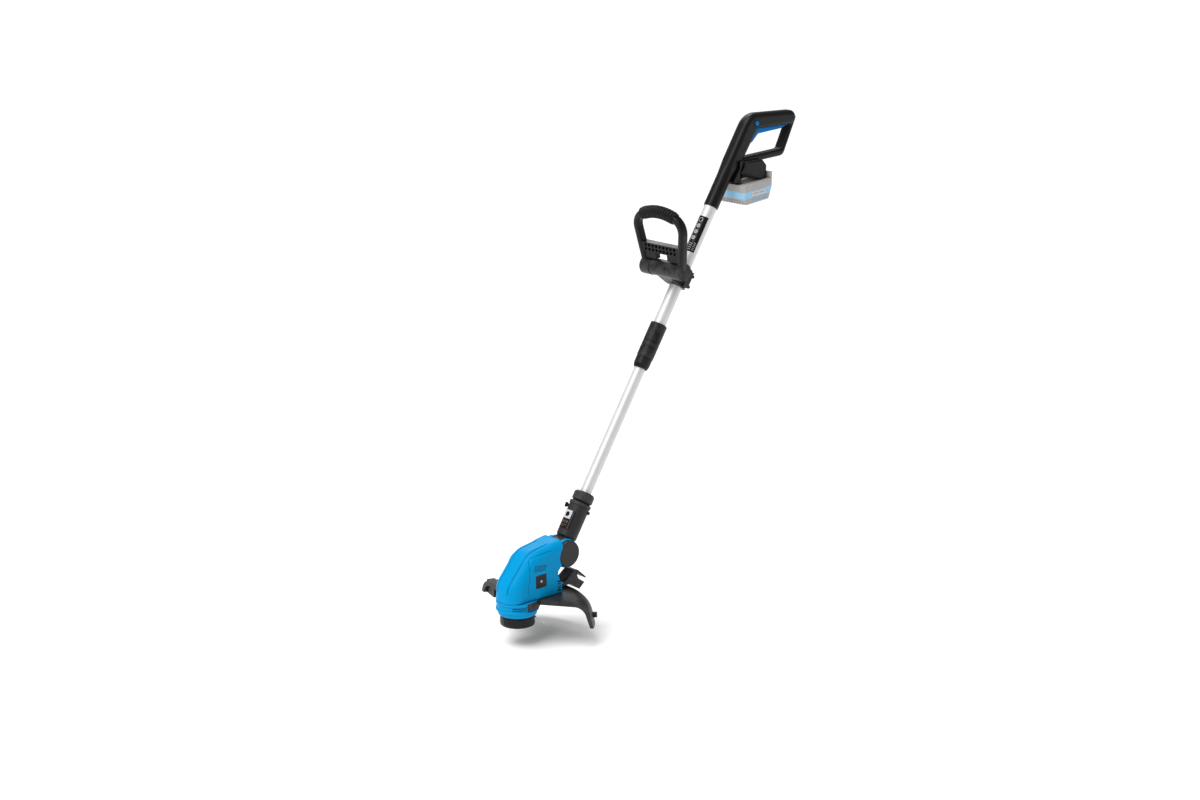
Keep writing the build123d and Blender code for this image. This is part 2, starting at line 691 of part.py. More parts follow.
def slide_bush():
    """Plastic guide on the top of the lower tube."""
    bore = TUBE_UP_R - TUBE_UP_WALL
    head = tube(bore - SLIP_GAP, BUSH_BORE, TUBE_LOW_S1, TUBE_LOW_S1 + 8)
    spigot = tube(TUBE_LOW_R - TUBE_LOW_WALL, BUSH_BORE, TUBE_LOW_S1 - 14, TUBE_LOW_S1)
    return SHAFT * (head + spigot)


def upper_tube():
    """Aluminium tube between the lock and the rear handle."""
    return SHAFT * tube(TUBE_UP_R, TUBE_UP_R - TUBE_UP_WALL, TUBE_UP_S0, HANDLE_S + SOCKET_DEEP)


def lock_base():
    """Tapered lower end of the telescopic lock, on the upper tube."""
    body = rod(LOCK_R - 1.0, LOCK_S0 + 9, LOCK_SPLIT)
    taper = Pos(0, 0, LOCK_S0 + 4.5) * Cone(LOCK_R - 3.4, LOCK_R - 1.0, 9)
    neck_part = rod(TUBE_UP_R + 1.5, LOCK_SPLIT, LOCK_SPLIT + 50)
    body = body + taper + neck_part
    body = body - rod(TUBE_LOW_R + RUN_GAP, LOCK_S0 - CUT, LOCK_SPLIT + 60)
    body = body - rod(TUBE_UP_R, TUBE_UP_S0, LOCK_SPLIT + 60)
    return SHAFT * (body - rod(TUBE_LOW_R + 2.0, LOCK_S0 + 12, LOCK_SPLIT))


def lock_collet():
    """Split collet that grips the lower tube."""
    ring = tube(TUBE_LOW_R + 2.0, TUBE_LOW_R + SLIP_GAP, LOCK_S0 + 12, LOCK_SPLIT)
    for turn in (0, 90, 180, 270):
        ring = ring - Rot(0, 0, turn + 45) * block(10, 20, -0.8, 0.8, LOCK_S0 + 11, LOCK_SPLIT - 6)
    return SHAFT * ring


def lock_collar():
    """Twist sleeve of the telescopic lock, grooved near its top."""
    body = rod(LOCK_R, LOCK_SPLIT + RUN_GAP, LOCK_S1)
    body = chamfer(body.edges(), 1.5)
    for drop in (43, 55):
        body = body - tube(LOCK_R + 2, LOCK_R - 0.8, LOCK_S1 - drop - 1, LOCK_S1 - drop + 1)
    body = body - rod(TUBE_UP_R + 1.5 + PIN_GAP, LOCK_SPLIT, LOCK_SPLIT + 50 + 0.5)
    return SHAFT * (body - rod(TUBE_UP_R + RUN_GAP, LOCK_SPLIT, LOCK_S1 + CUT))


# ---------------------------------------------------------------- inner lead
LEAD_R = 2.5
COIL_R = 4.5


def lead_coil():
    """Outer form of the curly lead that hangs in the tubes from the rear handle."""
    return SHAFT * Pos(-5.5, 0, 0) * rod(COIL_R, TUBE_LOW_S1 - 130, HANDLE_S + SOCKET_DEEP - 5)


def lead_lower():
    """Straight lead in the lower tube, down to the swivel."""
    return SHAFT * Pos(7.0, 0, 0) * rod(LEAD_R, NUT_S0, TUBE_LOW_S1 - 20)


# ---------------------------------------------------------------- front handle
CLAMP_BOLTS = [(22.0, 626.0), (22.0, 650.0), (-22.0, 626.0), (-22.0, 650.0)]


def clamp_front():
    """Front half of the clamp with the hinge barrel."""
    flange = block(-6, 0, -CLAMP_HALF, CLAMP_HALF, CLAMP_S0 + 3, CLAMP_S1 - 5)
    ring = rod(CLAMP_R, CLAMP_S0, CLAMP_S1) + flange
    web = prism(outline([
        (HINGE_X - 8, HINGE_S - 15, 0), (-10, CLAMP_S0, 0), (-6, CLAMP_S0, 0),
        (-6, CLAMP_S1, 0), (-16, CLAMP_S1, 0), (HINGE_X + 2, HINGE_S + 17, 0),
    ]), -CLAMP_HALF + 5, CLAMP_HALF - 5)
    barrel = bar_y(HINGE_X, HINGE_S, HINGE_R, -HINGE_HALF, HINGE_HALF)
    body = ring + web + barrel
    body = body & block(-200, 0, -100, 100, 500, 800)
    body = body - rod(TUBE_UP_R, CLAMP_S0 - CUT, CLAMP_S1 + CUT)
    body = body - bar_y(HINGE_X, HINGE_S, HINGE_BOLT_R + PIN_GAP, -50, 50)
    for y, s in CLAMP_BOLTS:
        body = body - bar_x(y, s, 2.6, -12, 2)
    return SHAFT * body


def clamp_rear():
    """Rear half of the clamp."""
    flange = block(0, 9, -CLAMP_HALF, CLAMP_HALF, CLAMP_S0 + 3, CLAMP_S1 - 5)
    body = rod(CLAMP_R, CLAMP_S0, CLAMP_S1) + flange
    body = body & block(0, 200, -100, 100, 500, 800)
    body = body - rod(TUBE_UP_R, CLAMP_S0 - CUT, CLAMP_S1 + CUT)
    for y, s in CLAMP_BOLTS:
        body = body - bar_x(y, s, 2.6, -2, 12)
    return SHAFT * body


def clamp_bolts():
    """Four bolts that pull the clamp halves together."""
    solids = []
    for y, s in CLAMP_BOLTS:
        solids.append(SHAFT * (bar_x(y, s, 2.5, -12, 9) + bar_x(y, s, 3.6, 9, 15)))
    return Compound(children=solids)


def bail_path():
    """Centre line of the bail in its own Y-Z plane."""
    points = [
        (-BAIL_FOOT, 0), (-BAIL_TOP, BAIL_SHOULDER), (0, BAIL_CROWN),
        (BAIL_TOP, BAIL_SHOULDER), (BAIL_FOOT, 0),
    ]
    return Plane.YZ * FilletPolyline(*points, radius=[30, 200, 30])


def bail_frame():
    """Legs, top bar, crossbar and hinge eyes of the front handle."""
    path = bail_path()
    start = Plane(origin=path @ 0, x_dir=(1, 0, 0), z_dir=path % 0)
    loop = sweep(start * RectangleRounded(BAIL_DEEP, BAIL_WIDE, 6.0), path=path)
    cross = block(-8, 8, -60, 60, CROSS_Z0, CROSS_Z1)
    for index in range(CROSS_HOLES):
        y = CROSS_PITCH * (index - (CROSS_HOLES - 1) / 2)
        for z in (CROSS_Z0 + 5.5, CROSS_Z1 - 5.5):
            cross = cross - block(-9, -2, y - 3.4, y + 3.4, z - 3, z + 3)
    body = loop + cross
    for side in (-1, 1):
        ys = sided(side, HINGE_HALF + RUN_GAP, BAIL_FOOT + 8)
        body = body + bar_y(0, 0, HINGE_R + 1, *ys)
        web = block(-6, 6, *sided(side, 17, 56), HINGE_R + 2, CROSS_Z0)
        body = body + web
    return body - bar_y(0, 0, HINGE_BOLT_R, -80, 80)


def bail_grip():
    """Soft ribbed sleeve over the top bar."""
    path = bail_path()
    start = Plane(origin=path @ 0, x_dir=(1, 0, 0), z_dir=path % 0)
    sleeve = sweep(start * Circle(GRIP_R), path=path)
    sleeve = sleeve & block(-50, 50, -GRIP_HALF, GRIP_HALF, BAIL_SHOULDER - 30, BAIL_CROWN + 30)
    core = sweep(start * RectangleRounded(BAIL_DEEP, BAIL_WIDE, 6.0), path=path)
    return sleeve - core


def hinge_bolt():
    """Bolt through the front handle's hinge."""
    return bar_y(0, 0, HINGE_BOLT_R, -BAIL_FOOT - 8, BAIL_FOOT + 8)


# ---------------------------------------------------------------- rear handle
HANDLE_SCREWS = [
    (60.5, 57.0), (84.0, 128.0), (134.0, 181.0), (240.0, 176.0), (206.0, 99.0), (118.0, 86.0),
]
HANDLE_HEAD_Y = 8.0
HANDLE_TIP_Y = -9.0


def limb_point(across, along):
    """Point of the leaning limb, in the handle's own upright frame."""
    return (COS * across + SIN * along, COS * along - SIN * across)


def grip_solid():
    """Leaning limb and top grip in one rounded form."""
    low_front = limb_point(-LIMB_FRONT, 0)
    low_rear = limb_point(LIMB_FRONT, 0)
    rear_start = limb_point(LIMB_REAR, 60)
    rear_top = (130.0, GRIP_UNDER)
    side = outline([
        (*low_front, 0), (104, GRIP_TOP + 0.5, 45), (256, GRIP_TOP - 4, 16), (245, 160, 6),
        (231, GRIP_UNDER, 4), (*rear_top, 8), (*rear_start, 30), (*low_rear, 0),
    ])
    body = prism(side, -HANDLE_HALF, HANDLE_HALF)
    edges = body.edges().filter_by(lambda e: abs(abs(e.center().Y) - HANDLE_HALF) < 0.1)
    edges = edges.filter_by(lambda e: e.center().Z > 5)
    return fillet(edges, LIMB_ROUND)


def leg_solid():
    """Rear leg and bottom leg that close the hand loop."""
    side = outline([
        (252, 176, 0), (211, 92, 18), (150, 88.5, 0), (80, 84, 0), (80, 99, 0),
        (99, 100.5, 0), (205.5, 106.5, 8), (236, 168, 0),
    ])
    body = prism(side, -LEG_HALF, LEG_HALF)
    edges = body.edges().filter_by(lambda e: abs(abs(e.center().Y) - LEG_HALF) < 0.1)
    edges = edges.filter_by(lambda e: e.length > 12 and 120 < e.center().X < 250)
    return fillet(edges, LEG_ROUND)


def foot_solid():
    """Battery foot behind the limb."""
    slope = math.tan(math.radians(BATTERY_TILT))
    wide = prism(outline([
        (67.5, 46 - 7.5 * slope, 0), (142.5, 46 + 67.5 * slope, 0), (143.5, 80, 3), (131, 93, 4), (78, 93, 0),
    ]), -FOOT_HALF, FOOT_HALF)
    upright = wide.edges().filter_by(Axis.Y, reverse=True)
    wide = chamfer(upright.filter_by(lambda e: e.center().Z > 75 and e.center().X > 100), 2.0)
    narrow = prism(outline([
        (47, 46 - 28 * slope, 0), (80, 46 + 5 * slope, 0), (95, 93, 0), (70, 70, 0),
    ]), -HANDLE_HALF + 1, HANDLE_HALF - 1)
    return wide + narrow


def handle_shell():
    """Whole rear handle with its cavities, bosses and holes."""
    body = grip_solid() + leg_solid() + foot_solid()
    grip_bay = block(128, 222, -12, 12, 172, 187)
    slot = prism(outline([
        (92, 132, 0), (106, 121, 0), (138, 142, 0), (214, 147, 0), (226, 152, 0),
        (226, 173, 0), (120, 173, 0),
    ]), -TRIGGER_HALF - RUN_GAP, TRIGGER_HALF + RUN_GAP)
    limb_bay = prism(outline([
        (*limb_point(-10, SOCKET_DEEP + 5), 0), (*limb_point(11, SOCKET_DEEP + 5), 0),
        (*limb_point(11, 150), 0), (*limb_point(-10, 168), 0),
    ]), -11, 11)
    body = body - grip_bay - slot - limb_bay
    body = body - to_handle(rod(TUBE_UP_R, HANDLE_S - CUT, HANDLE_S + SOCKET_DEEP))
    body = body - to_handle(rod(8.0, HANDLE_S, HANDLE_S + SOCKET_DEEP + 8))
    body = body - pack_in_handle(block(-5.7, 80, -RAIL_HALF - 3, RAIL_HALF + 3, -3, RAIL_TALL + 2))
    body = body - pack_in_handle(block(20, 58, -24, 24, RAIL_TALL + 4, 34))
    body = body - bar_y(122, 171, BUTTON_R + RUN_GAP, -40, 10)
    body = body - bar_y(TRIGGER_PIN[0], TRIGGER_PIN[1], 2.0, -13, 13)
    for x, z in HANDLE_SCREWS:
        body = body + bar_y(x, z, 4.8, -12.5, 12.5)
    for tool in screw_holes(HANDLE_SCREWS, HANDLE_HEAD_Y, HANDLE_TIP_Y, 3.2, 1.6, 2.5):
        body = body - tool
    return body


def to_handle(shape):
    """Move a shape drawn along the shaft into the handle's own frame."""
    return HANDLE.inverse() * SHAFT * shape


def pack_in_handle(shape):
    """Move a shape drawn in the battery's frame into the handle's own frame."""
    return HANDLE.inverse() * PACK * shape


TRIGGER_PIN = (218.0, 162.0)


def trigger():
    """Long trigger under the grip, hinged at its rear end."""
    side = outline([
        (114, 129.5, 1), (118, 132, 1), (134, 147, 6), (208, 152, 2), (216, 155.5, 2),
        (224, 160, 2), (222, 166.5, 2), (214, 166, 1), (206, 160.5, 2), (131, 160.5, 3), (108, 134, 2),
    ])
    body = prism(side, -TRIGGER_HALF, TRIGGER_HALF)
    long_edges = body.edges().filter_by(lambda e: e.center().Z < 153 and e.length > 14)
    body = fillet(long_edges.filter_by(lambda e: abs(abs(e.center().Y) - TRIGGER_HALF) < 0.1), 1.2)
    return body - bar_y(*TRIGGER_PIN, 2.0 + PIN_GAP, -20, 20)


def trigger_spring():
    """Return spring between the trigger and the grip's ceiling."""
    return Pos(146, 0, 0) * coil(3.4, 0.8, 160.5, 172.0, 4)


def trigger_pin():
    """Hinge pin of the trigger."""
    return bar_y(*TRIGGER_PIN, 2.0, -12.8, 12.8)


def lock_off_button():
    """Cross button that frees the trigger."""
    pin = bar_y(122, 171, BUTTON_R, -HANDLE_HALF - 2.5, -3)
    return fillet(pin.edges().sort_by(Axis.Y)[0], 1.2)


def main_switch():
    """Switch above the trigger."""
    body = block(160, 196, -8, 8, 173.5, 186)
    plunger = block(165, 168, -2, 2, 166, 173.5)
    return body + plunger


def control_board():
    """Circuit board with its components, in the limb."""
    board = block(-7.5, 8, -9, -7.4, SOCKET_DEEP + 8, 145)
    parts = block(-5, 0, -7.4, 4, SOCKET_DEEP + 14, SOCKET_DEEP + 30) + block(1, 6, -7.4, 0, 112, 128)
    return to_handle(Pos(0, 0, HANDLE_S) * (board + parts))


def terminal_block():
    """Contacts that plug into the battery."""
    return pack_in_handle(block(-5.5, 0.5, -12, 12, -0.8, RAIL_TALL + 1.5))


# ---------------------------------------------------------------- battery
def pack_slice(low, high):
    """Battery case between two heights, in the battery's frame."""
    side = outline([
        (-12, -1.2, 0), (-12, BATTERY_BASE + 6, 0), (-6, BATTERY_BASE, 0), (61, BATTERY_BASE, 0),
        (73.5, -20, 0), (77.5, 12, 0), (PACK_REAR, 12, 0), (PACK_REAR, -1.2, 0),
    ])
    body = prism(side, -BATTERY_HALF, BATTERY_HALF)
    upright = body.edges().filter_by(lambda e: abs(abs(e.center().Y) - BATTERY_HALF) < 0.1)
    body = chamfer(upright, 2.2)
    inner = block(-9.5, 58, -BATTERY_HALF + BATTERY_WALL, BATTERY_HALF - BATTERY_WALL,
                  BATTERY_BASE + BATTERY_WALL, -4)
    body = body - inner
    return body & block(-60, 160, -100, 100, low, high)


def battery_top():
    """Upper case with the slide rail and the latch pocket."""
    body = pack_slice(BAND_TOP, 40)
    rail = block(2, PACK_REAR, -RAIL_HALF, RAIL_HALF, -1.2, RAIL_TALL)
    for side in (-1, 1):
        rail = rail - block(0, 64, *sided(side, RAIL_HALF - 3, 30), 2.5, 6.5)
    body = body + rail
    return body - block(72.2, 90, -13.3, 13.3, -14.3, 8.3)


def battery_latch():
    """Release button on the battery's rear face."""
    return fillet(block(75.4, 80.2, -13, 13, -14, 8).edges().filter_by(Axis.X), 2.0)


def battery_cells():
    """Five cells in two rows."""
    solids = []
    for x, z in ((2.0, -33.0), (21.0, -33.0), (40.0, -33.0), (11.5, -14.2), (30.5, -14.2)):
        solids.append(bar_y(x, z, CELL_R, -CELL_LENGTH / 2, CELL_LENGTH / 2))
    return Compound(children=solids)


# ---------------------------------------------------------------- build
def build():
    """Write every node."""
    save("bump_button", bump_button())
    save("line_spool", spool())
    save("line_winding", line_winding())
    save("spool_cap", spool_cap())
    save("line_eyelet", line_eyelet())
    save("cutting_line", cutting_line())
    save("spool_hub", spool_hub())
    save("spool_spring", spool_spring())
    save("shroud_ring", shroud_ring())
    save("motor_can", motor_can())
    save("motor_magnets", motor_magnets())
    save("motor_bearings", motor_bearings())
    save("motor_rotor", rotor())
    save("cooling_fan", cooling_fan())

    housing = housing_shell()
    save("housing_near", near_half(housing))
    save("housing_far", far_half(housing))
    save("housing_screws", screws_y(HOUSING_SCREWS, HOUSING_HEAD_Y, HOUSING_TIP_Y, 3.4, 1.7, 3.0))
    save("badge_plates", badge_plates())
    save("pivot_caps", pivot_caps())
    save("tilt_pin", tilt_pin())
    save("guard", guard())
    save("guard_screws", guard_screws())
    save("line_cutter", line_cutter())
    save("cutter_screws", cutter_screws())
    save("tilt_pedal", tilt_pedal())
    save("pedal_pin", pedal_pin())

    save("neck", neck())
    save("neck_label", neck_label())
    save("swivel_latch", swivel_latch())
    save("swivel_bush", swivel_bush())
    save("swivel_nut", swivel_nut())
    save("lower_tube", lower_tube())
    save("slide_bush", slide_bush())
    save("lead_lower", lead_lower())

    save("upper_tube", upper_tube())
    save("lock_base", lock_base())
    save("lock_collet", lock_collet())
    save("lock_collar", lock_collar())
    save("lead_coil", lead_coil())
    save("clamp_front", clamp_front())
    save("clamp_rear", clamp_rear())
    save("clamp_bolts", clamp_bolts())
    save("bail_frame", BAIL * bail_frame())
    save("bail_grip", BAIL * bail_grip())
    save("hinge_bolt", BAIL * hinge_bolt())

    handle = handle_shell()
    save("handle_near", HANDLE * near_half(handle))
    save("handle_far", HANDLE * far_half(handle))
    save("handle_screws", HANDLE * screws_y(HANDLE_SCREWS, HANDLE_HEAD_Y, HANDLE_TIP_Y, 3.2, 1.6, 2.5))
    save("trigger", HANDLE * trigger())
    save("trigger_spring", HANDLE * trigger_spring())
    save("trigger_pin", HANDLE * trigger_pin())
    save("lock_off_button", HANDLE * lock_off_button())
    save("main_switch", HANDLE * main_switch())
    save("control_board", HANDLE * control_board())
    save("terminal_block", HANDLE * terminal_block())
    save("battery_top", PACK * battery_top())
    save("battery_band", PACK * pack_slice(BAND_BASE, BAND_TOP))
    save("battery_base", PACK * pack_slice(BATTERY_BASE - 1, BAND_BASE))
    save("battery_latch", PACK * battery_latch())
    save("battery_cells", PACK * battery_cells())


build()
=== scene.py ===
import bpy
import bmesh
import json
import math
import numpy as np
from mathutils import Matrix, Vector


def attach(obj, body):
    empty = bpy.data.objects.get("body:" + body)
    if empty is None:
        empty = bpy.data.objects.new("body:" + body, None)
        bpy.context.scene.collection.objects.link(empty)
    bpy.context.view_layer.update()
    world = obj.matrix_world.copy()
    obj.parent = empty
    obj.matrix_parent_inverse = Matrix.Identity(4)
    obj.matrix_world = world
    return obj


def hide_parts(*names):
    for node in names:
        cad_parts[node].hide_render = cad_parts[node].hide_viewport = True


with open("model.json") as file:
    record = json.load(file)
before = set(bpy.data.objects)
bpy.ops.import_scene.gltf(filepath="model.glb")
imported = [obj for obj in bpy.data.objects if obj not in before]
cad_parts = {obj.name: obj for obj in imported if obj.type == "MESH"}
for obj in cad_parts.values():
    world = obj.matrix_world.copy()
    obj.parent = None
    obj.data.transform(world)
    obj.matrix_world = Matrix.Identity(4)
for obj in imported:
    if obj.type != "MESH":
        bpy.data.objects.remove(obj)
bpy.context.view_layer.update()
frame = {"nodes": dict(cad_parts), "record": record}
NODES = frame["nodes"]
# the look of each node: its own slot, or a variant of it
SLOT_OF = {s["node"]: s["material_slot"] for s in frame["record"]["subparts"]}
SLOT_OF["lock_off_button"] = "trigger_blue"
SLOT_OF["clamp_bolts"] = "bolt_black"
SLOT_OF["hinge_bolt"] = "bolt_black"
SLOT_OF["neck_label"] = "badge"
SLOT_OF["neck"] = "charcoal"
SLOT_OF["swivel_nut"] = "charcoal"
SLOT_OF["pivot_caps"] = "charcoal"
scene = bpy.context.scene
MM = 0.001

# ---------------------------------------------------------------- camera
cam_data = bpy.data.cameras.new("camera")
cam_data.lens = 70
cam_data.sensor_width = 36
cam_data.clip_end = 60
camera = bpy.data.objects.new("camera", cam_data)
scene.collection.objects.link(camera)
right = Vector((0.7431, -0.6691, 0.0))
up = Vector((0.1732, 0.1923, 0.9659))
back = right.cross(up)
camera.matrix_world = Matrix((
    (right.x, up.x, back.x, -2.939),
    (right.y, up.y, back.y, -3.521),
    (right.z, up.z, back.z, 1.712),
    (0, 0, 0, 1),
))
scene.camera = camera

# ---------------------------------------------------------------- frames of the parts
LEAN = math.radians(32.5)
HANDLE_S = 0.806                # along the shaft, from the tilt pivot to the rear handle
PIVOT = Vector((0.118, 0, 0.134))
ALONG = Vector((math.sin(LEAN), 0, math.cos(LEAN)))
SHAFT = Matrix.Translation(PIVOT) @ Matrix.Rotation(LEAN, 4, "Y")
HANDLE = Matrix.Translation(PIVOT + ALONG * HANDLE_S)
PACK = HANDLE @ Matrix.Translation((0.075, 0, 0.046)) @ Matrix.Rotation(math.radians(-6), 4, "Y")
HINGE = SHAFT @ Vector((-0.051, 0, 0.637))
BAIL = Matrix.Translation(HINGE) @ Matrix.Rotation(math.radians(-9.2), 4, "Y")


# ---------------------------------------------------------------- materials
class Graph:
    """A new material with its Principled shader and short ways to add nodes."""

    def __init__(self, name):
        self.mat = bpy.data.materials.new(name)
        self.mat.use_nodes = True
        self.tree = self.mat.node_tree
        self.shader = self.tree.nodes["Principled BSDF"]
        self.coords = self.tree.nodes.new("ShaderNodeTexCoord").outputs["Object"]

    def node(self, kind, **values):
        made = self.tree.nodes.new(kind)
        for key, value in values.items():
            if hasattr(made, key):
                setattr(made, key, value)
            else:
                self.feed(made.inputs[key.replace("_", " ")], value)
        return made

    def feed(self, socket, value):
        if isinstance(value, bpy.types.NodeSocket):
            self.tree.links.new(value, socket)
        else:
            socket.default_value = value

    def noise(self, scale, detail=2.0, coords=None):
        made = self.node("ShaderNodeTexNoise", Scale=scale, Detail=detail)
        self.tree.links.new(coords or self.coords, made.inputs["Vector"])
        return made.outputs["Fac"]

    def math(self, operation, a, b=0.0):
        made = self.node("ShaderNodeMath", operation=operation)
        self.feed(made.inputs[0], a)
        self.feed(made.inputs[1], b)
        return made.outputs[0]

    def span(self, value, low, high, out_low, out_high):
        made = self.node("ShaderNodeMapRange")
        for index, item in enumerate((value, low, high, out_low, out_high)):
            self.feed(made.inputs[index], item)
        return made.outputs[0]

    def mix(self, factor, a, b):
        made = self.node("ShaderNodeMix", data_type="RGBA")
        self.feed(made.inputs["Factor"], factor)
        self.feed(made.inputs[6], a)
        self.feed(made.inputs[7], b)
        return made.outputs[2]

    def bump(self, height, distance, strength=1.0, normal=None):
        made = self.node("ShaderNodeBump", Distance=distance, Strength=strength, Height=height)
        if normal:
            self.feed(made.inputs["Normal"], normal)
        return made.outputs["Normal"]


def rgba(color, gain=1.0):
    return tuple(min(1.0, c * gain) for c in color) + (1.0,)


def moulded(name, color, rough, grain=0.5, wear=0.35, edge=0.0005, specular=0.2):
    """Moulded plastic or rubber: spark-eroded grain, handled patches, paler worn edges, painted shade
    darkening recesses.
    """
    g = Graph(name)
    soft = g.node("ShaderNodeBevel", samples=4, Radius=edge).outputs["Normal"]
    fine = g.noise(1100.0, 3.0)
    patch = g.noise(22.0, 4.0)
    smudge = g.noise(75.0, 5.0)
    normal = g.bump(fine, 0.00012, grain, soft)
    pointed = g.node("ShaderNodeNewGeometry").outputs["Pointiness"]
    rim = g.math("MULTIPLY", g.span(pointed, 0.52, 0.6, 0.0, wear), g.span(smudge, 0.35, 0.65, 0.2, 1.0))
    tone = g.mix(g.span(patch, 0.3, 0.7, 0.0, 1.0), rgba(color, 0.97), rgba(color, 1.03))
    pale = tuple(c + (1 - c) * 0.35 for c in color)
    # Painted shade: the base colour drops to 45% where ambient occlusion finds nearby surfaces, in grooves,
    # recesses and between parts.
    ao_for_painted_shade = g.node("ShaderNodeAmbientOcclusion", samples=6, Distance=0.006).outputs["AO"]
    worn = g.mix(rim, tone, rgba(pale))
    painted_shade_mix = g.span(ao_for_painted_shade, 0.45, 0.95, 0.0, 1.0)
    g.feed(g.shader.inputs["Base Color"], g.mix(painted_shade_mix, rgba(color, 0.45), worn))
    g.feed(g.shader.inputs["Roughness"], g.span(smudge, 0.3, 0.7, rough - 0.05, rough + 0.07))
    g.feed(g.shader.inputs["Normal"], normal)
    g.shader.inputs["Specular IOR Level"].default_value = specular
    return g.mat


def metal(name, color, rough, brushed=None, edge=0.0003, metallic=1.0):
    """Metal with fine lines along one direction, or even grain, and faint handling marks."""
    g = Graph(name)
    place = g.node("ShaderNodeMapping")
    g.tree.links.new(g.coords, place.inputs["Vector"])
    if brushed:
        place.inputs["Rotation"].default_value = (0, brushed, 0)
        place.inputs["Scale"].default_value = (1.0, 1.0, 0.02)
    lines = g.noise(1500.0, 2.0, place.outputs["Vector"])
    smear = g.noise(30.0, 4.0)
    soft = g.node("ShaderNodeBevel", samples=4, Radius=edge).outputs["Normal"]
    g.feed(g.shader.inputs["Base Color"], g.mix(smear, rgba(color, 0.95), rgba(color, 1.04)))
    g.feed(g.shader.inputs["Roughness"], g.span(lines, 0.3, 0.7, rough - 0.06, rough + 0.08))
    g.feed(g.shader.inputs["Normal"], g.bump(lines, 0.00003, 0.4, soft))
    g.shader.inputs["Metallic"].default_value = metallic
    return g.mat


BLUE = (0.0, 0.290, 0.61)
BLACK = (0.006, 0.006, 0.0065)
MATERIALS = {
    "housing_blue": moulded("blue_moulded", BLUE, 0.40, 0.25, 0.12, 0.0008, specular=0.05),
    "trigger_blue": moulded("blue_trigger", (0.0, 0.17, 0.50), 0.36, 0.2, 0.1, specular=0.06),
    "black_plastic": moulded("black_moulded", BLACK, 0.36, 0.5, 0.10),
    "charcoal": moulded("charcoal_moulded", (0.026, 0.025, 0.025), 0.42, 0.5, 0.10),
    "guard_black": moulded("guard_moulded", (0.014, 0.0135, 0.0135), 0.40, 0.5, 0.10, 0.0008),
    "grip_rubber": moulded("grip_rubber", (0.005, 0.005, 0.0055), 0.50, 0.7, 0.05),
    "spool_plastic": moulded("spool_moulded", (0.02, 0.02, 0.02), 0.4),
    "pack_grey": moulded("pack_grey", (0.40, 0.385, 0.375), 0.45, 0.3, 0.3),
    "pack_blue": moulded("pack_blue", (0.27, 0.56, 0.80), 0.42, 0.3, 0.3),
    "badge": moulded("badge_gloss", (0.008, 0.008, 0.010), 0.16, 0.05, 0.0),
    "label": moulded("label_film", (0.30, 0.31, 0.32), 0.28, 0.05, 0.0),
    "fan_white": moulded("fan_white", (0.8, 0.8, 0.8), 0.4),
    "line_nylon": moulded("line_nylon", (0.72, 0.74, 0.72), 0.25, 0.1),
    "board_green": moulded("board_green", (0.02, 0.2, 0.08), 0.3, 0.1),
    "cell_wrap": moulded("cell_wrap", (0.1, 0.35, 0.2), 0.3, 0.05),
    "lead_black": moulded("lead_rubber", (0.02, 0.02, 0.02), 0.5),
    "tube_aluminium": metal("tube_aluminium", (0.68, 0.685, 0.69), 0.42, LEAN, metallic=0.35),
    "steel": metal("steel_plain", (0.62, 0.63, 0.65), 0.3),
    "bolt_black": metal("bolt_black", (0.02, 0.02, 0.022), 0.35, metallic=0.8),
    "mark_white": moulded("mark_white", (0.42, 0.43, 0.44), 0.3, 0.05, 0.0),
    "mark_brown": moulded("mark_brown", (0.13, 0.065, 0.04), 0.3, 0.05, 0.0),
    "silver_film": moulded("silver_film", (0.55, 0.56, 0.58), 0.22, 0.05, 0.0, specular=0.6),
    # Painted shade: a near-black sheet laid where vent and rim slot openings stand, in place of the shade
    # inside them.
    "slot_dark": moulded("slot_dark", (0.004, 0.010, 0.016), 0.6, 0.1, 0.0),
    "magnet": metal("magnet_dark", (0.12, 0.12, 0.13), 0.5),
}

for name, obj in NODES.items():
    obj.data.materials.clear()
    obj.data.materials.append(MATERIALS[SLOT_OF[name]])


# ---------------------------------------------------------------- stage
FLOOR_Z = -0.042                # the trimmer hangs a little over its shadow
FLOOR_SIZE = 30.0
floor_mesh = bpy.data.meshes.new("floor")
corners = [(x * FLOOR_SIZE, y * FLOOR_SIZE, FLOOR_Z) for x, y in ((-1, -1), (1, -1), (1, 1), (-1, 1))]
floor_mesh.from_pydata(corners, [], [(0, 1, 2, 3)])
floor = bpy.data.objects.new("floor", floor_mesh)
scene.collection.objects.link(floor)
ground = Graph("floor_paper")
paper = ground.mix(ground.noise(3.0), (0.93, 0.93, 0.93, 1), (0.95, 0.95, 0.95, 1))
ground.feed(ground.shader.inputs["Base Color"], paper)
ground.shader.inputs["Roughness"].default_value = 0.9
ground.shader.inputs["Specular IOR Level"].default_value = 0.1
ground.shader.inputs["Emission Color"].default_value = (1, 1, 1, 1)
ground.shader.inputs["Emission Strength"].default_value = 0.14
floor.data.materials.append(ground.mat)


def area_light(name, place, target, size, power):
    data = bpy.data.lights.new(name, "AREA")
    data.shape = "RECTANGLE"
    data.size, data.size_y = size
    data.energy = power
    obj = bpy.data.objects.new(name, data)
    obj.location = place
    obj.rotation_euler = (Vector(target) - Vector(place)).to_track_quat("-Z", "Y").to_euler()
    scene.collection.objects.link(obj)


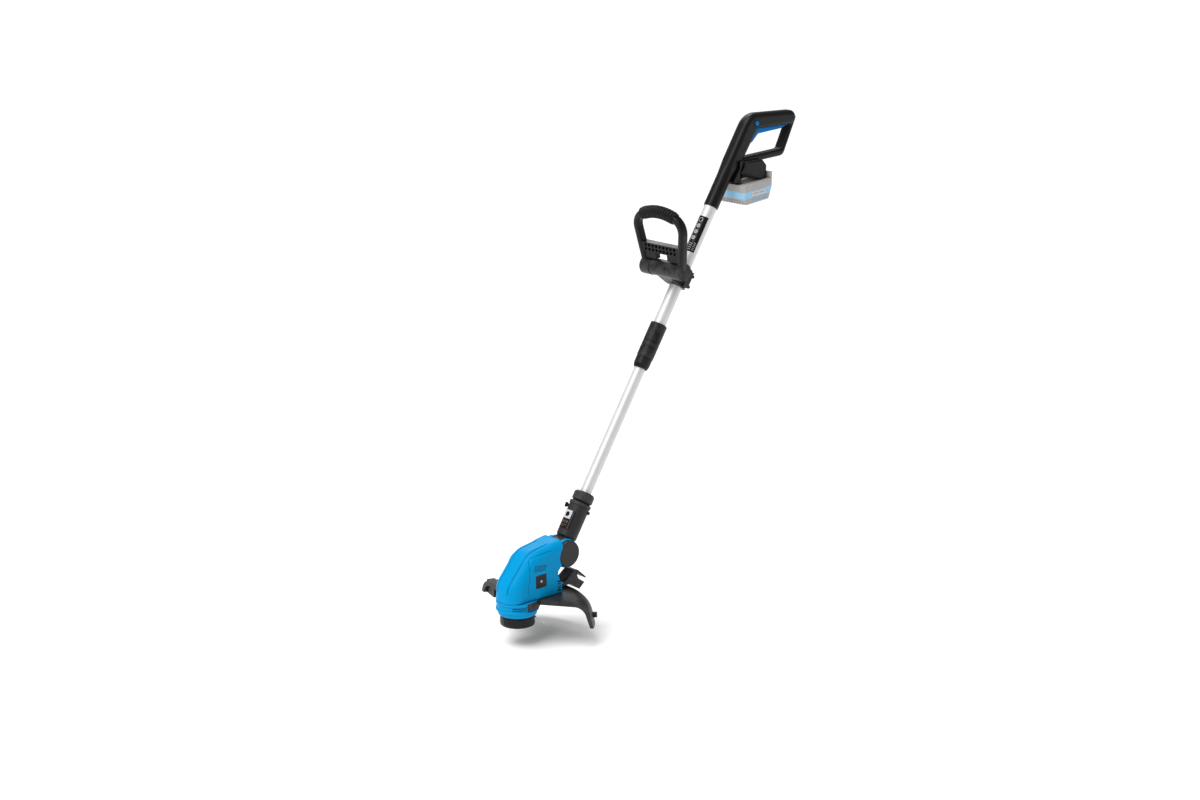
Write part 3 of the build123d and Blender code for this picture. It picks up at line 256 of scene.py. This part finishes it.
area_light("key", (-2.4, -1.0, 2.4), (0.3, 0, 0.5), (0.7, 2.4), 27)
area_light("back", (1.6, 2.4, 2.2), (0.3, 0, 0.6), (1.6, 2.0), 30)
area_light("side", (2.6, -2.2, 1.4), (0.4, 0, 0.7), (0.5, 2.2), 5)
sun_data = bpy.data.lights.new("overhead", "SUN")
sun_data.energy = 2.65
sun_data.angle = math.radians(48)
sun = bpy.data.objects.new("overhead", sun_data)
sun.rotation_euler = (math.radians(-6), math.radians(-24), 0)
scene.collection.objects.link(sun)
world = bpy.data.worlds.new("studio")
world.use_nodes = True
world.node_tree.nodes["Background"].inputs[0].default_value = (1, 1, 1, 1)
world.node_tree.nodes["Background"].inputs[1].default_value = 0.24
scene.world = world
scene.view_settings.view_transform = "Standard"


# ---------------------------------------------------------------- mesh helpers
def piece(name, verts, faces, body, slot, *replaced, smooth=True, split=None):
    """A mesh piece in the row frame that rides on a body."""
    mesh = bpy.data.meshes.new(name)
    mesh.from_pydata([tuple(v) for v in verts], [], faces)
    mesh.validate()
    return settle(name, mesh, body, slot, *replaced, smooth=smooth, split=split)


def settle(name, mesh, body, slot, *replaced, smooth=True, split=None):
    """Puts a mesh in the scene with its material, body, slot and the nodes that it replaces."""
    work = bmesh.new()
    work.from_mesh(mesh)
    bmesh.ops.recalc_face_normals(work, faces=work.faces)
    work.to_mesh(mesh)
    work.free()
    for poly in mesh.polygons:
        poly.use_smooth = smooth
    if split:
        mesh.set_sharp_from_angle(angle=math.radians(split))
    obj = bpy.data.objects.new(name, mesh)
    scene.collection.objects.link(obj)
    mesh.materials.append(MATERIALS[slot])
    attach(obj, body)
    if replaced:
        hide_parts(*replaced)
    return obj


def remeshed(nodes, voxel, fillers=()):
    """One closed mesh of several nodes and boxes, with small even faces, as points, edges and quads."""
    work = bmesh.new()
    for node in nodes:
        work.from_mesh(NODES[node].data)
    for low, high in fillers:
        middle = (Vector(low) + Vector(high)) / 2 * MM
        scale = Matrix.Diagonal((*((Vector(high) - Vector(low)) * MM), 1))
        bmesh.ops.create_cube(work, size=1, matrix=Matrix.Translation(middle) @ scale)
    mesh = bpy.data.meshes.new("work")
    work.to_mesh(mesh)
    work.free()
    obj = bpy.data.objects.new("work", mesh)
    scene.collection.objects.link(obj)
    mod = obj.modifiers.new("voxels", "REMESH")
    mod.mode = "VOXEL"
    mod.voxel_size = voxel
    bpy.context.view_layer.update()
    done = bpy.data.meshes.new_from_object(obj.evaluated_get(bpy.context.evaluated_depsgraph_get()))
    bpy.data.objects.remove(obj)
    points = np.empty(len(done.vertices) * 3)
    done.vertices.foreach_get("co", points)
    edges = np.empty(len(done.edges) * 2, int)
    done.edges.foreach_get("vertices", edges)
    faces = [tuple(p.vertices) for p in done.polygons]
    return points.reshape(-1, 3), edges.reshape(-1, 2), faces


def relax(points, edges, weight, rounds, step=0.5):
    """Moves each point towards its neighbours' mean, as far as its weight lets it."""
    count = np.zeros(len(points))
    np.add.at(count, edges.ravel(), 1)
    weight = (weight * step)[:, None]
    for _ in range(rounds):
        total = np.zeros_like(points)
        for axis in range(3):
            total[:, axis] = np.bincount(edges[:, 0], points[edges[:, 1], axis], len(points))
            total[:, axis] += np.bincount(edges[:, 1], points[edges[:, 0], axis], len(points))
        mean = total / np.maximum(count, 1)[:, None]
        points = points + weight * (mean - points)
    return points


def ramp(value, low, high):
    """Smooth 0 to 1 between two values."""
    t = np.clip((value - low) / (high - low), 0, 1)
    return t * t * (3 - 2 * t)


def local(points, matrix):
    """Points in another frame, in millimetres."""
    inverse = np.array(matrix.inverted())
    return (points @ inverse[:3, :3].T + inverse[:3, 3]) / MM


def placed(points, matrix):
    """The reverse of local."""
    forward = np.array(matrix)
    return (points * MM) @ forward[:3, :3].T + forward[:3, 3]


# ---------------------------------------------------------------- motor housing
SIDE_FACE = 36.0                # half width of the housing
DECK_Z = 57.0                   # underside of the housing
BAND_GROOVE = 16.5              # grooves that edge the band over the crest, from the middle
VENT_FILL_X = (14.5, 52.0)      # where the slanted vents are closed, so that dark slots of painted shade can be laid on
VENT_FILL_Z = (117.5, 132.5)
CREST_SCREW = (8.0, 138.0)      # its head has to stay covered, so the crest is kept full there
PANEL_BORDER = [(69, 154), (40, 151.5), (14, 147), (9.5, 143), (8, 137), (5, 109), (2, 84), (3, 72)]


def line_gap(x, z, corners):
    """Distance of points from a line through corners, all in X-Z."""
    gap = np.full(len(x), 1e9)
    for (ax, az), (bx, bz) in zip(corners, corners[1:]):
        length = math.hypot(bx - ax, bz - az)
        t = np.clip(((x - ax) * (bx - ax) + (z - az) * (bz - az)) / length ** 2, 0, 1)
        gap = np.minimum(gap, np.hypot(x - ax - t * (bx - ax), z - az - t * (bz - az)))
    return gap


def housing():
    """Both housing halves as one shell with a round crest, band grooves and panel borders."""
    fillers = []
    for inner, outer in ((-35.98, -33.2), (33.2, 35.98)):
        low = (VENT_FILL_X[0], inner, VENT_FILL_Z[0])
        fillers.append((low, (VENT_FILL_X[1], outer, VENT_FILL_Z[1])))
    points, edges, faces = remeshed(["housing_near", "housing_far"], 0.00105, fillers)
    x, y, z = (points / MM).T
    crest = ramp(SIDE_FACE + 0.2 - np.abs(y), 0.2, 2.0) * ramp(z, 60, 72) * (1 - ramp(x, 62, 76))
    screw = np.hypot(x - CREST_SCREW[0], z - CREST_SCREW[1])
    crest *= np.where(np.abs(y) > 20, ramp(screw, 6, 13), 1.0)
    points = relax(points, edges, crest, 300)
    points = relax(points, edges, np.full(len(points), 0.6), 1)
    points[:, 2] = np.maximum(points[:, 2], DECK_Z * MM)

    mm = points / MM
    x, y, z = mm.T
    groove = np.exp(-(((np.abs(y) - BAND_GROOVE) / 1.7) ** 2)) * (1 - ramp(x, 66, 72)) * ramp(z, 74, 78)
    outside = ramp(np.linalg.norm(np.stack([x - 20, y * 1.4, z - 95], 1), axis=1), 36, 44)
    inward = np.array([22.0, 0.0, 84.0]) - mm
    inward[:, 1] = 0
    inward /= np.linalg.norm(inward, axis=1)[:, None]
    mm = mm + inward * (groove * outside * 2.6)[:, None]
    border = np.exp(-((line_gap(x, z, PANEL_BORDER) / 1.4) ** 2)) * ramp(np.abs(y), 24, 29)
    mm[:, 1] -= np.sign(y) * border * 1.7
    return piece("housing_shell", mm * MM, faces, "head", "housing_blue", "housing_near", "housing_far")


housing()

# ---------------------------------------------------------------- rear handle
LIMB_R = 16.1                   # radius of the limb where it takes the tube
LIMB_ROUND = (72, 112)          # the round section fades out between these lengths


def rear_handle():
    """Both rear handle halves as one shell, with the lower limb made round."""
    points, edges, faces = remeshed(["handle_near", "handle_far"], 0.0011)
    points = relax(points, edges, np.full(len(points), 1.0), 5)
    mouth = SHAFT @ Matrix.Translation((0, 0, HANDLE_S))
    s = local(points, mouth)
    radius = np.hypot(s[:, 0], s[:, 1])
    hold = 1 - ramp(s[:, 2], *LIMB_ROUND)
    limit = LIMB_R - 1.2 * np.clip(1 - s[:, 2] / 2.5, 0, 1) ** 2
    shrink = np.where((radius > limit) & (s[:, 2] < LIMB_ROUND[1]), limit / radius, 1.0)
    s[:, :2] *= (1 + (shrink - 1) * hold)[:, None]
    body, slot = "rear_handle", "black_plastic"
    return piece("handle_shell", placed(s, mouth), faces, body, slot, "handle_near", "handle_far")


rear_handle()

# ---------------------------------------------------------------- front handle grip
GRIP_HALF = 49.0
GRIP_TOP = 125.6                # height of the grip's middle over the hinge
GRIP_SAG = 0.0038
RIB_PITCH = 7.0
GRIP_ROWS = 197
GRIP_TURNS = 36


def ribbed_grip():
    """Sleeve of round ribs along the bowed top bar."""
    verts, faces = [], []
    for row in range(GRIP_ROWS):
        y = -GRIP_HALF + 2 * GRIP_HALF * row / (GRIP_ROWS - 1)
        z = GRIP_TOP - y * y * GRIP_SAG
        slope = -2 * GRIP_SAG * y
        n = math.hypot(1, slope)
        ty, tz = 1 / n, slope / n
        rib = 0.5 + 0.5 * math.cos(2 * math.pi * (y + GRIP_HALF) / RIB_PITCH)
        end = min(1.0, (GRIP_HALF - abs(y)) / 3.0)
        radius = 11.4 + 2.5 * max(0.0, rib) ** 0.6
        radius *= 0.88 + 0.12 * math.sqrt(max(0.0, end))
        for k in range(GRIP_TURNS):
            a = 2 * math.pi * k / GRIP_TURNS
            across, rise = radius * math.cos(a), radius * math.sin(a)
            verts.append((across * 0.98, y - tz * rise, z + ty * rise))
    for row in range(GRIP_ROWS - 1):
        for k in range(GRIP_TURNS):
            a, b = row * GRIP_TURNS + k, row * GRIP_TURNS + (k + 1) % GRIP_TURNS
            faces.append((a, b, b + GRIP_TURNS, a + GRIP_TURNS))
    faces.append(tuple(range(GRIP_TURNS)))
    faces.append(tuple((GRIP_ROWS - 1) * GRIP_TURNS + k for k in reversed(range(GRIP_TURNS))))
    points = placed(np.array(verts), BAIL)
    return piece("grip_sleeve", points, faces, "front_handle", "grip_rubber", "bail_grip", split=60)


ribbed_grip()


# ---------------------------------------------------------------- outlines and what is made of them
def box2(x0, x1, z0, z1):
    return [(x0, z0), (x1, z0), (x1, z1), (x0, z1)]


def round2(x, z, radius, angle):
    return (x + radius * math.cos(angle), z + radius * math.sin(angle))


def disc2(x, z, radius, count=20):
    return [round2(x, z, radius, 2 * math.pi * k / count) for k in range(count)]


def ring2(x, z, radius, width, count=20):
    """A ring as short four-cornered outlines."""
    out = []
    for k in range(count):
        a, b = 2 * math.pi * k / count, 2 * math.pi * (k + 1) / count
        inner = radius - width
        out.append([
            round2(x, z, radius, a), round2(x, z, radius, b), round2(x, z, inner, b), round2(x, z, inner, a),
        ])
    return out


def finished(name, work, matrix, body, slot, smooth):
    """The piece of a finished bmesh, moved into the row frame."""
    bmesh.ops.transform(work, matrix=matrix, verts=work.verts)
    mesh = bpy.data.meshes.new(name)
    work.to_mesh(mesh)
    work.free()
    return settle(name, mesh, body, slot, smooth=smooth)


def slabs(name, outlines, y0, y1, matrix, body, slot, bevel=0.0):
    """Outlines in X-Z, in millimetres of a frame, given thickness along Y, with bevelled edges."""
    work = bmesh.new()
    for outline in outlines:
        face = work.faces.new([work.verts.new(Vector((x, y0, z))) for x, z in outline])
        grown = bmesh.ops.extrude_face_region(work, geom=[face])["geom"]
        moved = [item for item in grown if isinstance(item, bmesh.types.BMVert)]
        bmesh.ops.translate(work, vec=(0, y1 - y0, 0), verts=moved)
    bmesh.ops.recalc_face_normals(work, faces=work.faces)
    if bevel:
        bmesh.ops.bevel(work, geom=work.edges[:], offset=bevel, segments=2, affect="EDGES", profile=0.5)
    bmesh.ops.scale(work, vec=(MM, MM, MM), verts=work.verts)
    return finished(name, work, matrix, body, slot, False)


def wrapped(name, outlines, radius, turn, matrix, body, slot, lift):
    """Outlines in (round, along) millimetres laid on a cylinder about a frame's Z axis."""
    work = bmesh.new()
    for outline in outlines:
        work.faces.new([work.verts.new((u, v, 0)) for u, v in outline])
    across = [vert.co.x for vert in work.verts]
    for cut in range(int(min(across)) - 1, int(max(across)) + 2, 2):
        geom = work.verts[:] + work.edges[:] + work.faces[:]
        bmesh.ops.bisect_plane(work, geom=geom, plane_co=(cut, 0, 0), plane_no=(1, 0, 0))
    for vert in work.verts:
        angle = math.radians(turn) + vert.co.x / radius
        x, y = round2(0, 0, radius + lift, angle)
        vert.co = Vector((x, y, vert.co.y)) * MM
    return finished(name, work, matrix, body, slot, True)


# ---------------------------------------------------------------- plate on the upper tube, with plain signs
PLATE = (14.0, -165, SHAFT, "rear_handle")
PLATE_DISCS = (757, 743, 729)
wrapped("tube_plate", [box2(-13.5, 13.5, 697, 780)], *PLATE, "badge", 0.1)
signs = [disc2(-1.5, s, 4.6) for s in PLATE_DISCS]
signs += [box2(-9, -7, 702 + 5 * k, 704.5 + 5 * k) for k in range(14)]
signs += [box2(5.5, 10.5, 701 + 4 * k, 702.2 + 4 * k) for k in range(5)]
signs += [box2(-4.5, 3.0, 701 + 4.5 * k, 702.4 + 4.5 * k) for k in range(4)]
signs += ring2(-1.5, 771, 5.0, 1.0)
wrapped("tube_plate_signs", signs, *PLATE, "mark_white", 0.2)
wrapped("tube_plate_dots", [box2(-3.6, 0.6, s - 0.6, s + 0.6) for s in PLATE_DISCS], *PLATE, "badge", 0.28)

# ---------------------------------------------------------------- film on the neck
FILM = (22.8, 178, SHAFT, "neck_sleeve")
wrapped("neck_film", [box2(-10.5, 10.5, 68, 86.5)], *FILM, "silver_film", 0.05)
wrapped("neck_film_signs", [disc2(0, 77.2, 5.5)], *FILM, "badge", 0.12)
bars = [box2(-10 + 5.2 * k, -6.6 + 5.2 * k, 58, 64) for k in range(4)]
bars += [box2(-10, 9, 53, 54.6), box2(-10, 4, 50, 51.2)]
wrapped("neck_signs_low", bars, *FILM, "mark_brown", 0.08)

# ---------------------------------------------------------------- vents as dark sheets of painted shade, and badge with a painted highlight, on both housing sides
IDENTITY = Matrix.Identity(4)
for side, tag in ((-1, "near"), (1, "far")):
    vents = []
    for index in range(7):
        x, z = 19 + 4.6 * index, 125.5 - 0.5 * index
        vents.append([(x - 3.2, z - 6.5), (x - 1.6, z - 6.5), (x + 3.2, z + 6.5), (x + 1.6, z + 6.5)])
    for index in range(5):
        vents.append(box2(81.5, 89.5 - abs(index - 2) * 0.4, 62.5 + 5 * index, 64.4 + 5 * index))
    for label, outlines, low, high, slot, bevel in (
        # painted shade: dark sheets over the closed vents, in the vents' outlines
        ("side_vent_shade_", vents, 34.0, 36.1, "slot_dark", 0.0),
        ("badge_rim_", [box2(20.6, 49.4, 81.5, 109.3)], 34.5, 36.55, "black_plastic", 0.5),
        ("badge_face_", [box2(23.2, 46.8, 84.2, 106.6)], 36.0, 36.75, "badge", 0.2),
        # painted highlight: a small silver disc on the glossy badge face
        ("badge_highlight_", [disc2(35, 95.4, 2.6, 12)], 36.5, 37.1, "silver_film", 0.25),
    ):
        slabs(label + tag, outlines, side * low, side * high, IDENTITY, "head", slot, bevel)


# ---------------------------------------------------------------- round parts about the spool axis
def spun(name, profile, body, slot, *replaced, steps=120, waves=None):
    """A closed profile of (radius, z) points turned about the spool axis."""
    verts, faces = [], []
    count = len(profile)
    for k in range(steps):
        a = 2 * math.pi * k / steps
        for radius, z in profile:
            r = radius + (waves(a, z) if waves else 0.0)
            verts.append((r * math.cos(a) * MM, r * math.sin(a) * MM, z * MM))
    for k in range(steps):
        here, there = k * count, (k + 1) % steps * count
        for index in range(count):
            after = (index + 1) % count
            faces.append((here + index, there + index, there + after, here + after))
    return piece(name, verts, faces, body, slot, *replaced, split=32)


def cap_waves(angle, z):
    """Six finger ribs round the spool cap."""
    rib = max(0.0, math.cos(6 * angle)) ** 24
    return 0.7 * rib if 3.5 < z < 21 else 0.0


spun("rim_ring", [
    (37.3, 25.6), (39.5, 25.6), (40.0, 26.0), (42.6, 34.5), (45.2, 36.2), (45.4, 36.9), (45.4, 38.6),
    (45.1, 39.2), (43.9, 40.2), (43.9, 50.8), (44.9, 51.6), (45.1, 52.2), (45.1, 54.4), (44.7, 55.2),
    (43.9, 56.0), (43.9, 57.0), (8.5, 57.0), (8.5, 52.0), (40.5, 52.0), (40.5, 40.6),
], "head", "housing_blue", "shroud_ring")
RIM = (43.9, -124, IDENTITY, "head")
# Painted shade: two dark bands on the rim ring where its slots stand.
wrapped("rim_slot_shade", [box2(-15, 13, 43.2, 45.0), box2(-15, 13, 47.4, 49.2)], *RIM, "slot_dark", 0.15)
wrapped("rim_latch", [box2(15.0, 20, 42, 50.2)], *RIM, "housing_blue", 0.8)
spun("cap_shell", [
    (15.3, 1.5), (33.0, 1.5), (34.8, 1.9), (36.0, 3.0), (36.5, 4.6), (36.5, 12.0), (36.5, 20.4),
    (36.5, 21.6), (35.9, 22.0), (35.9, 22.8), (36.5, 23.2), (36.5, 25.0), (34.0, 25.0), (34.0, 6.0),
    (15.3, 6.0),
], "drive", "black_plastic", "spool_cap", steps=216, waves=cap_waves)

# ---------------------------------------------------------------- battery foot and battery
foot_web = [[(49.5, 49.0), (69, 46.8), (69, 92.5), (78, 92.5)]]
slabs("foot_web", foot_web, -22, 22, HANDLE, "rear_handle", "black_plastic", 2.0)
slabs("pack_label", [box2(9, 53, -29.5, -18.5)], -38.3, -38.95, PACK, "battery", "silver_film", 0.3)
label_bars = [box2(14, 30, -25.5, -22.5), box2(33, 47, -25.5, -22.5)]
slabs("pack_label_bars", label_bars, -38.9, -39.1, PACK, "battery", "pack_grey", 0.1)
frame_bars = [box2(9, 53, -41.5, -40.3), box2(9, 53, -34.5, -33.3)]
frame_bars += [box2(9, 10.2, -40.3, -34.5), box2(51.8, 53, -40.3, -34.5)]
slabs("pack_outline", frame_bars, -38.3, -38.9, PACK, "battery", "pack_blue", 0.15)
pack_front = PACK @ Matrix.Rotation(math.radians(90), 4, "Z")
front_ribs = [box2(-32 + 8 * k, -28 + 8 * k, -43.5, -36) for k in range(9)]
slabs("pack_ribs", front_ribs, 11.6, 12.9, pack_front, "battery", "pack_grey", 0.4)

# ---------------------------------------------------------------- end
bpy.context.view_layer.update()
